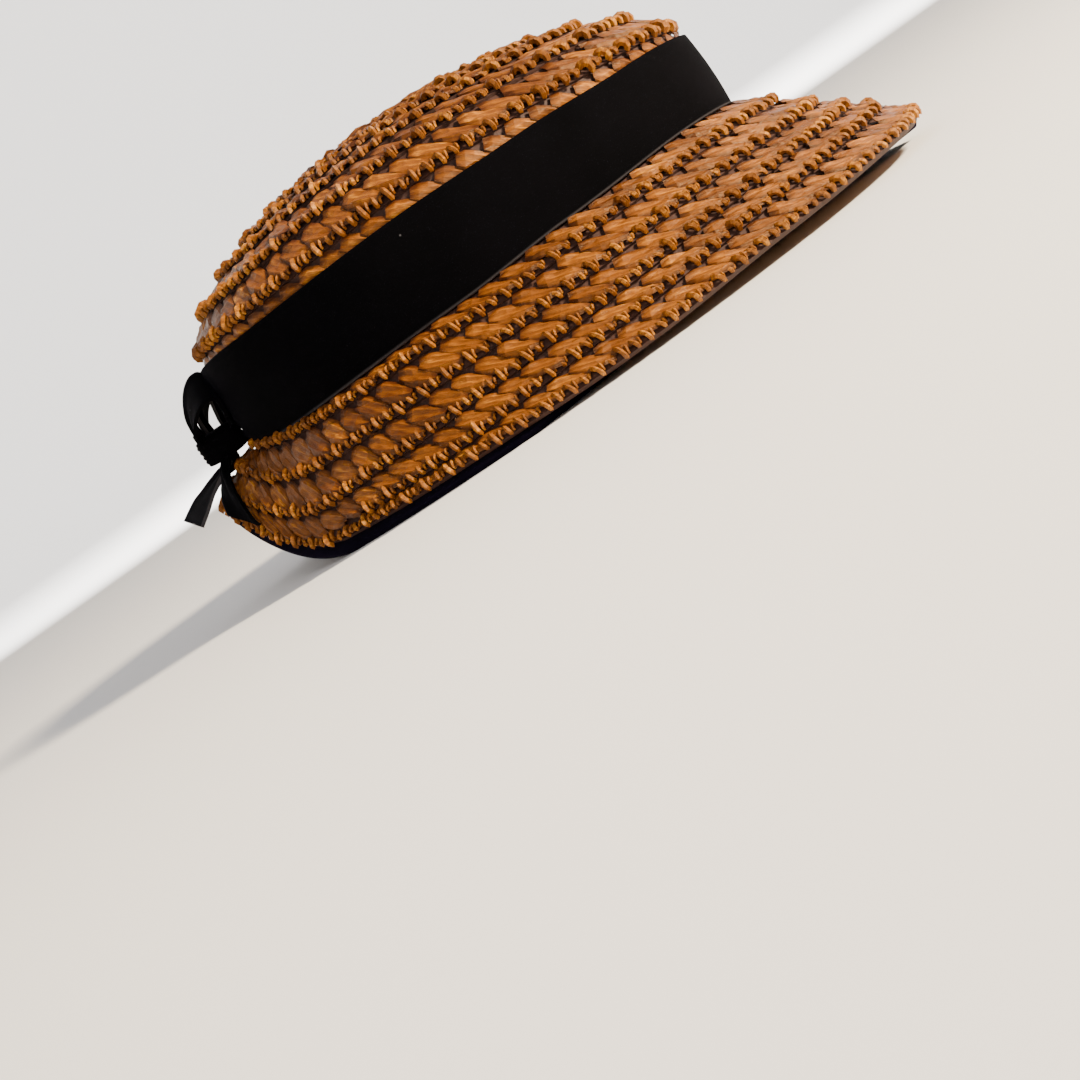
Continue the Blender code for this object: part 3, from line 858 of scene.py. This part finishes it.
PRESSED_FROM = 0.95           # reach from which the ribbon presses the straw down
CROWN_KNOT = (1.26, 1.22, 1.12, 1.02, 0.92, 0.80, 0.66)
BEHIND_RIBBON = 1.12          # reach at which the row that runs under the ribbon ends


def crown_rows():
    rows = [Row(crown_surface, dome_edge(0), constant(BEHIND_RIBBON), CROWN_KNOT[0], knots=False,
                pressed_from=PRESSED_FROM)]
    for number in range(len(DOME_ROWS)):
        upper = dome_edge(number + 1) if number + 1 < len(DOME_ROWS) else constant(0.012)
        rows.append(Row(crown_surface, upper, dome_edge(number), CROWN_KNOT[number]))
    return rows


def make_crown_braid():
    pile = Pile()
    leaves = knots = 0
    for row in crown_rows():
        leaves += lay_leaves(pile, row)
        if row.knots:
            knots += lay_knots(pile, row)
    add_backing(pile, "crown")
    print("crown:", leaves, "leaves and", knots, "pairs of knots")
    add_braid("crown_braid", "crown", pile)


make_crown_braid()


# %% Brim braid
def brim_edge(row):
    if row < 0:
        return constant(0.0)
    if row == len(BRIM_ROW_SHARES):
        return constant(1.0)
    return lambda angle: eased(BRIM_ROW_DEGREES, BRIM_ROW_SHARES[row], angle)


BRIM_KNOT = 1.06


def make_brim_braid():
    pile = Pile()
    leaves = knots = 0
    rows = [Row(brim_surface, brim_edge(number - 1), brim_edge(number), BRIM_KNOT)
            for number in range(len(BRIM_ROW_SHARES) + 1)]
    for row, next_row in zip(rows, rows[1:] + [None]):
        leaves += lay_leaves(pile, row)
        knots += lay_knots(pile, row, next_row)
    add_backing(pile, "brim")
    print("brim:", leaves, "leaves and", knots, "pairs of knots")
    add_braid("brim_braid", "brim", pile)


make_brim_braid()

# %% [markdown]
# The ribbons start as a flat grid, whose columns run along the cloth and whose rows run across it. Its
# points are laid where the cloth goes, its ends are joined where it goes right round, and it is given
# its thickness and a soft edge. A UV map keeps the place along and across the cloth, which the velvet
# reads for its bare woven edge.


# %% Cloth from a grid
def cloth(name, along, across, place, thickness, soft_edge, round_about):
    """A sheet laid by place(u, v), both from 0 to 1, with the thickness that the real one has."""
    sheet = primitive(bpy.ops.mesh.primitive_grid_add, name, x_subdivisions=along, y_subdivisions=across,
                      size=1.0)
    mesh = sheet.data
    flat = np.array([vertex.co[:] for vertex in mesh.vertices]) + 0.5
    corners = np.array([loop.vertex_index for loop in mesh.loops])
    drop_maps(mesh)
    layer = mesh.uv_layers.new(name="ribbon")
    layer.data.foreach_set("uv", flat[corners, :2].astype(np.float32).ravel())
    mesh.vertices.foreach_set("co", place(flat[:, 0], flat[:, 1]).astype(np.float32).ravel())
    mesh.update()
    if round_about:
        face_outwards(sheet, merge=DOUBLES)
    wall = sheet.modifiers.new("wall", "SOLIDIFY")
    wall.thickness = thickness
    wall.offset = 0.0
    if soft_edge:
        edge = sheet.modifiers.new("edge", "BEVEL")
        edge.width = soft_edge
        edge.segments = 2
        edge.limit_method = "ANGLE"
        edge.angle_limit = math.radians(50.0)
    bpy.context.view_layer.objects.active = sheet
    sheet.select_set(True)
    for modifier in list(sheet.modifiers):
        bpy.ops.object.modifier_apply(modifier=modifier.name)
    bpy.ops.object.shade_smooth()
    return sheet


def finish_cloth(sheet, material, node):
    sheet.data.materials.clear()
    sheet.data.materials.append(material)
    hand_over(sheet, node)


# %% [markdown]
# The ribbon lies flat on the crown's wall, a little fuller in the middle, with long shallow waves in
# it. It is drawn in at the centre back, where small folds run into the bow.


# %% Ribbon band
BAND_COLUMNS = 360
BAND_ROWS = 14
BAND_FULLNESS = 0.0006
BAND_WAVE = 0.00035
FOLD_DEPTH = 0.0011
FOLD_REACH_DEGREES = 26.0


def band_place(along, across):
    angle = along * 2.0 * math.pi
    low, high = band_lower(angle), band_upper(angle)
    out = SEAT_GAP + VELVET_WALL / 2.0 + BAND_FULLNESS * 4.0 * across * (1.0 - across)
    out = out + BAND_WAVE * (1.0 + np.sin(angle * 5.0 + 1.3) * np.sin(across * 4.0 + angle * 2.0)) / 2.0
    from_back = np.abs(np.degrees(angle) - 180.0) / FOLD_REACH_DEGREES
    near = np.clip(1.0 - from_back, 0.0, 1.0) ** 1.5
    fold = np.sin(across * 17.0 + 1.5 * np.sin(angle * 9.0)) ** 2
    out = out + FOLD_DEPTH * near * fold
    nx, ny = CROWN_HALF_WIDTH * np.cos(angle), CROWN_HALF_LENGTH * np.sin(angle)
    size = np.hypot(nx, ny)
    return stack(CROWN_HALF_LENGTH * np.cos(angle) + out * nx / size,
                 CROWN_HALF_WIDTH * np.sin(angle) + out * ny / size,
                 low + (high - low) * across)


finish_cloth(
    cloth("velvet_ribbon", BAND_COLUMNS, BAND_ROWS, band_place, VELVET_WALL, 0.0004, True),
    ribbon_velvet, "ribbon_band")

# %% [markdown]
# The facing lines the whole underside of the brim and is rolled outwards over a soft core at the rim,
# where its navy edge shows below the straw. It is closed both round the bonnet and across, as a torus
# is, so it starts as one, and its points are laid first on the flat facing and then on the roll.

# %% Brim facing
FACING_COLUMNS = 360
FACING_ROWS = 48
ROLL_SECTION = (
    (-1.04, 0.42), (-0.94, 0.14), (-0.76, 0.00), (-0.26, 0.00), (-0.03, 0.11), (0.12, 0.36), (0.06, 0.58),
)
ROLL_JOIN = 0.006
FACING_FOOT_SHARE = 0.03


def through(points, where):
    """A smooth line through points by Catmull and Rom's rule, at places from 0 to 1 along it."""
    points = np.asarray(points, dtype=float)
    last = len(points) - 1
    place = np.clip(np.asarray(where), 0.0, 1.0) * last
    low = np.minimum(place.astype(int), last - 1)
    t = (place - low).reshape(place.shape + (1,) * (points.ndim - 1))
    before, first, second, after = (points[np.clip(low + step, 0, last)] for step in (-1, 0, 1, 2))
    return 0.5 * (2.0 * first + (second - before) * t
                  + (2.0 * before - 5.0 * first + 4.0 * second - after) * t ** 2
                  + (3.0 * (first - second) + after - before) * t ** 3)


def facing_loop(angle):
    """One closed section of the facing at each angle, as sections by points by 3."""
    top = -(STRAW_WALL + SEAT_GAP)
    under = top - FACING_WALL
    edge = rim_surface(angle)
    ground = np.stack((edge[:, 0], edge[:, 1], rim_rise(angle)), axis=-1)
    foot = brim_surface(angle, np.zeros_like(angle))
    slope = np.linalg.norm(edge - foot, axis=1)
    outwards = unit(np.stack((RIM_HALF_WIDTH * np.cos(angle), RIM_HALF_LENGTH * np.sin(angle),
                              np.zeros_like(angle)), axis=-1))
    section = [lifted(brim_surface, angle, np.full_like(angle, share), np.full_like(angle, top))
               for share in (1.0, 0.68, 0.35, FACING_FOOT_SHARE)]
    section += [lifted(brim_surface, angle, share, np.full_like(angle, under))
                for share in (np.full_like(angle, FACING_FOOT_SHARE), np.full_like(angle, 0.35),
                              np.full_like(angle, 0.68), 1.0 - ROLL_JOIN / slope)]
    for out, up in ROLL_SECTION:
        section.append(ground + outwards * (out * ROLL_HEIGHT) + np.array((0.0, 0.0, up * ROLL_HEIGHT)))
    section.append(section[0])
    return np.stack(section, axis=1)


def make_facing():
    """A tube through the sections: it starts as a torus, whose points are laid on them."""
    facing = primitive(bpy.ops.mesh.primitive_torus_add, "velvet_facing", major_segments=FACING_COLUMNS,
                       minor_segments=FACING_ROWS, major_radius=1.0, minor_radius=0.3)
    angle = np.linspace(0.0, 2.0 * math.pi, FACING_COLUMNS, endpoint=False)
    loops = facing_loop(angle)
    shares = np.linspace(0.0, 1.0, FACING_ROWS, endpoint=False)
    points = through(np.swapaxes(loops, 0, 1), shares)
    points[..., 2] = np.maximum(points[..., 2], 0.0)
    facing.data.vertices.foreach_set("co", np.swapaxes(points, 0, 1).astype(np.float32).ravel())
    face_outwards(facing)
    bpy.ops.object.shade_smooth()
    finish_cloth(facing, facing_velvet, "brim_facing")


make_facing()

# %% [markdown]
# The bow is cut from the same velvet. A ribbon follows a line of stations, each with its middle, half
# its width as an arrow, and how far it is gathered. Between the stations it runs smoothly. The folds
# start at the knot, where the cloth is gathered tight, and open out along the ribbon.

# %% Bow values
KNOT_HALF_WIDTH = 0.0100
KNOT_HALF_DEPTH = 0.0086
KNOT_HALF_HEIGHT = 0.0055
KNOT_SQUARENESS = 0.7
KNOT_CENTRE_Z = 0.0525
BOW_RIBBON_WIDTH = 0.029
BOW_GATHER = 0.0016
LOOP_LENGTH = 0.0160
LOOP_DEPTH = 0.0140
LOOP_SPREAD_DEGREES = 26.0
LOOP_LEAN_DEGREES = 12.0
LOOP_FAN_RATE = 3.0
# Along the loop in loop lengths, outwards in loop depths, width in ribbon widths, and gather
LOOP_PATH = (
    (0.04, 0.50, 0.33, 1.0), (0.16, 0.53, 0.42, 0.9), (0.32, 0.53, 0.50, 0.7), (0.52, 0.48, 0.61, 0.4),
    (0.72, 0.38, 0.71, 0.2), (0.88, 0.24, 0.77, 0.1), (0.98, 0.08, 0.80, 0.0), (1.00, -0.05, 0.80, 0.0),
    (0.97, -0.17, 0.80, 0.0), (0.86, -0.27, 0.76, 0.0), (0.68, -0.32, 0.69, 0.0), (0.48, -0.35, 0.59, -0.1),
    (0.28, -0.36, 0.48, -0.3), (0.14, -0.36, 0.41, -0.5), (0.04, -0.36, 0.33, -0.6),
)
TAIL_LENGTH = 0.040
TAIL_OUT_TILT = 0.30
TAIL_CUT = 0.10
# To the side, outwards and down in tail lengths, width in ribbon widths, and gather
TAIL_OUT_PATH = (
    (0.125, 0.010, 0.035, 0.31, 1.0), (0.150, 0.065, 0.065, 0.38, 0.8), (0.190, 0.170, 0.075, 0.50, 0.5),
    (0.235, 0.310, 0.130, 0.66, 0.3), (0.275, 0.440, 0.195, 0.80, 0.1), (0.310, 0.555, 0.250, 0.92, 0.0),
    (0.335, 0.650, 0.305, 1.00, 0.0),
)
TAIL_DOWN_START_WIDTH = 0.31
TAIL_DOWN_STUB = 0.03
# Degrees from the back, share of the brim, lift in tail lengths, width in ribbon widths, and gather
TAIL_DOWN_PATH = (
    (5.0, 0.53, 0.050, 0.42, 0.8), (7.0, 0.61, 0.034, 0.56, 0.5), (9.5, 0.70, 0.018, 0.70, 0.3),
    (12.0, 0.79, 0.006, 0.82, 0.1), (14.5, 0.87, 0.002, 0.92, 0.0), (16.5, 0.93, 0.002, 1.00, 0.0),
)
KNOT_CLEAR = 0.0034           # the tail lies on the knots of the straw
SEWN_IN = 0.0028              # how far the ribbon runs on into the knot
BOW_COLUMNS = 72
BOW_ROWS = 16
BOW_FOLD = 0.0009
BAND_OUTSIDE = CROWN_HALF_LENGTH + VELVET_WALL + 2.0 * SEAT_GAP
KNOT_OUT = SEAT_GAP + KNOT_HALF_DEPTH


# %% Ribbons of the bow
def bow_point(side, out, z):
    return np.array((CROWN_X - BAND_OUTSIDE - out, side, z), dtype=float)


def ribbon_along(name, stations, node, folds=2.0):
    """A ribbon through stations of middle, half width and gather, pleated where it is gathered."""
    middles = np.array([station[0] for station in stations])
    halves = np.array([station[1] for station in stations])
    gathers = np.array([station[2] for station in stations])

    def place(along, across):
        middle, half = through(middles, along), through(halves, along)
        ahead = through(middles, along + 0.01) - through(middles, along - 0.01)
        normal = unit(np.cross(half, ahead))
        gather = through(gathers, along)
        side = across * 2.0 - 1.0
        crest = gather * BOW_GATHER * (1.0 - np.abs(side))
        pleat = np.abs(gather) * BOW_FOLD * np.cos(side * folds * math.pi)
        return middle + half * side[:, None] + normal * (crest + pleat)[:, None]

    sheet = cloth(name, BOW_COLUMNS, BOW_ROWS, place, VELVET_WALL, 0.0003, False)
    finish_cloth(sheet, ribbon_velvet, node)


def end_at_knot(station, z):
    middle, half, gather = station
    return (np.array((middle[0], middle[1], z)), np.array((0.0, half[1], 0.0)), gather)


def cut_slantwise(stations, slant):
    middle, half, gather = stations[-1]
    onwards = unit(middle - stations[-2][0]) * (slant * TAIL_LENGTH)
    stations[-1] = (middle, half + onwards, gather)
    return stations


def make_loop(name, hand, node, depth, shift):
    """Depth scales the loop's opening, and shift moves the loop towards the crown."""
    spread_angle, lean = math.radians(LOOP_SPREAD_DEGREES), math.radians(LOOP_LEAN_DEGREES)
    side = hand * (BOW_RIBBON_WIDTH * LOOP_PATH[0][2] / 2.0 + 2.0 * SEAT_GAP)
    base = bow_point(side, KNOT_OUT - shift, KNOT_CENTRE_Z + KNOT_HALF_HEIGHT + SEAT_GAP)
    ahead = np.array((math.sin(lean), hand * math.sin(spread_angle) * math.cos(lean),
                      math.cos(spread_angle) * math.cos(lean)))
    stations = []
    for along, out, width, gather in LOOP_PATH:
        fan = spread_angle * min(1.0, along * LOOP_FAN_RATE)
        across = np.array((0.0, hand * math.cos(fan), -math.sin(fan)))
        middle = base + ahead * (along * LOOP_LENGTH) + np.array((-out * LOOP_DEPTH * depth, 0.0, 0.0))
        stations.append((middle, across * (width * BOW_RIBBON_WIDTH / 2.0), gather * hand))
    stations.insert(0, end_at_knot(stations[0], base[2] - SEWN_IN))
    stations.append(end_at_knot(stations[-1], base[2] - SEWN_IN))
    ribbon_along(name, stations, node)


def make_tail_out():
    start_z = KNOT_CENTRE_Z - KNOT_HALF_HEIGHT - SEAT_GAP
    stations = []
    for side, out, down, width, gather in TAIL_OUT_PATH:
        middle = bow_point(side * TAIL_LENGTH, KNOT_OUT + out * TAIL_LENGTH, start_z - down * TAIL_LENGTH)
        across = unit(np.array((0.0, 1.0, TAIL_OUT_TILT * (1.0 - gather))))
        stations.append((middle, across * (width * BOW_RIBBON_WIDTH / 2.0), -gather))
    stations.insert(0, end_at_knot(stations[0], start_z + SEWN_IN))
    stations = cut_slantwise(stations, TAIL_CUT)
    ribbon_along("velvet_tail_left", stations, "bow_tail_left")


def make_tail_down():
    start_z = KNOT_CENTRE_Z - KNOT_HALF_HEIGHT - SEAT_GAP
    start_half = BOW_RIBBON_WIDTH * TAIL_DOWN_START_WIDTH / 2.0
    start = bow_point(-start_half - SEAT_GAP, KNOT_OUT, start_z + SEWN_IN)
    half = np.array((0.0, -start_half, 0.0))
    stub = start + np.array((0.0, 0.0, -TAIL_LENGTH * TAIL_DOWN_STUB))
    stations = [(start, half, -1.0), (stub, half, -1.0)]
    for from_back, share, lift, width, gather in TAIL_DOWN_PATH:
        angle = np.radians(np.array((180.0 + from_back,)))
        clear = np.array((KNOT_CLEAR + lift * TAIL_LENGTH,))
        middle = lifted(brim_surface, angle, np.array((share,)), clear)[0]
        beside = lifted(brim_surface, angle + SURFACE_STEP, np.array((share,)), clear)[0]
        across = unit(beside - middle)
        stations.append((middle, across * (width * BOW_RIBBON_WIDTH / 2.0), -gather))
    stations = cut_slantwise(stations, -TAIL_CUT)
    ribbon_along("velvet_tail_right", stations, "bow_tail_right")


make_loop("velvet_loop_left", 1.0, "bow_loop_left", depth=0.60, shift=0.0010)
make_loop("velvet_loop_right", -1.0, "bow_loop_right", depth=1.0, shift=0.0016)
make_tail_out()
make_tail_down()

# %% [markdown]
# The knot is a short wrap of the ribbon round the waist of the bow. It starts as a sphere, whose rings
# are squared off and then drawn out or in for the pleats that run round it.

# %% Bow knot
KNOT_RINGS = 24
KNOT_SIDES = 48
KNOT_PLEATS = 3.0
KNOT_PLEAT_DEPTH = 0.06


def squared(share):
    return np.sign(share) * np.abs(share) ** KNOT_SQUARENESS


def make_bow_knot():
    knot = primitive(bpy.ops.mesh.primitive_uv_sphere_add, "velvet_knot", segments=KNOT_SIDES,
                     ring_count=KNOT_RINGS, radius=1.0)
    round_points = np.array([vertex.co[:] for vertex in knot.data.vertices])
    up = np.clip(round_points[:, 2], -1.0, 1.0)
    level = np.sign(up) * np.abs(up) ** 0.8
    turn = np.arctan2(round_points[:, 1], round_points[:, 0])
    waist = np.sqrt(np.clip(1.0 - up ** 8, 0.0, 1.0))
    pleats = 1.0 - KNOT_PLEAT_DEPTH * np.cos(level * math.pi * KNOT_PLEATS) ** 2
    middle = bow_point(0.0, KNOT_OUT, KNOT_CENTRE_Z)
    points = np.stack((
        middle[0] - squared(np.sin(turn)) * KNOT_HALF_DEPTH * waist * pleats,
        squared(np.cos(turn)) * KNOT_HALF_WIDTH * waist * pleats,
        middle[2] + level * KNOT_HALF_HEIGHT,
    ), axis=-1)
    knot.data.vertices.foreach_set("co", points.astype(np.float32).ravel())
    face_outwards(knot)
    bpy.ops.object.shade_smooth()
    drop_maps(knot.data)
    layer = knot.data.uv_layers.new(name="ribbon")
    layer.data.foreach_set("uv", np.full(len(knot.data.loops) * 2, 0.5, dtype=np.float32))
    finish_cloth(knot, ribbon_velvet, "bow_knot")


make_bow_knot()

# %% [markdown]
# The floor is plain and pale. The camera is tilted, so a horizon would run slantwise across the
# picture: the floor is a wide disc instead, whose edge sweeps up all round like a studio's cove. The
# light is soft: a warm lamp in front and a little to the side, which makes the glints on the knots and
# leaves the back in the shade, a weaker one behind the camera, and one that lights the cove.

# %% Floor and light
COVE_RADIUS = 3.2
COVE_SWEEP = 1.6              # radius of the curve between the floor and the wall
COVE_SIDES = 96
COVE_STEPS = 12
COVE_WALL = 1.4


def add_floor():
    floor = primitive(bpy.ops.mesh.primitive_circle_add, "floor", vertices=COVE_SIDES,
                      radius=COVE_RADIUS, fill_type="NGON")
    start_editing(floor)
    bpy.ops.mesh.select_mode(type="EDGE")
    pick_all()
    radius, height = COVE_RADIUS, 0.0
    for step in range(1, COVE_STEPS + 2):
        turn = min(step / COVE_STEPS, 1.0) * math.pi / 2.0
        next_radius = COVE_RADIUS + COVE_SWEEP * math.sin(turn)
        next_height = COVE_SWEEP * (1.0 - math.cos(turn)) + (COVE_WALL if step > COVE_STEPS else 0.0)
        bpy.ops.mesh.extrude_edges_move()
        bpy.ops.transform.resize(value=(next_radius / radius, next_radius / radius, 1.0),
                                 center_override=(0.0, 0.0, 0.0))
        bpy.ops.transform.translate(value=(0.0, 0.0, next_height - height))
        radius, height = next_radius, next_height
    stop_editing()
    face_outwards(floor)
    bpy.ops.object.shade_smooth()
    pale = Finish("pale_floor")
    pale.set(Base_Color=(0.86, 0.85, 0.84), Roughness=0.9)
    floor.data.materials.append(pale.material)


def add_lamp(name, place, size, power, colour, aim_at=(0.0, 0.0, 0.05)):
    data = bpy.data.lights.new(name, "AREA")
    data.size = size
    data.energy = power
    data.color = colour
    lamp = bpy.data.objects.new(name, data)
    bpy.context.scene.collection.objects.link(lamp)
    lamp.location = place
    aim = Vector(aim_at) - Vector(place)
    lamp.rotation_mode = "QUATERNION"
    lamp.rotation_quaternion = aim.to_track_quat("-Z", "Y")


def set_world():
    world = bpy.data.worlds.new("pale_world")
    world.use_nodes = True
    world.node_tree.nodes["Background"].inputs["Color"].default_value = (0.93, 0.94, 1.0, 1.0)
    world.node_tree.nodes["Background"].inputs["Strength"].default_value = 0.50
    bpy.context.scene.world = world


add_floor()
add_lamp("warm_key", (1.15, -0.70, 0.80), 0.22, 95.0, (1.0, 0.83, 0.60))
add_lamp("side_fill", (-0.20, -1.60, 0.70), 1.2, 10.0, (1.0, 0.90, 0.80))
add_lamp("cove_light", (0.2, 1.3, 1.1), 1.6, 190.0, (1.0, 0.98, 0.95), aim_at=(0.2, 4.4, 0.5))
set_world()
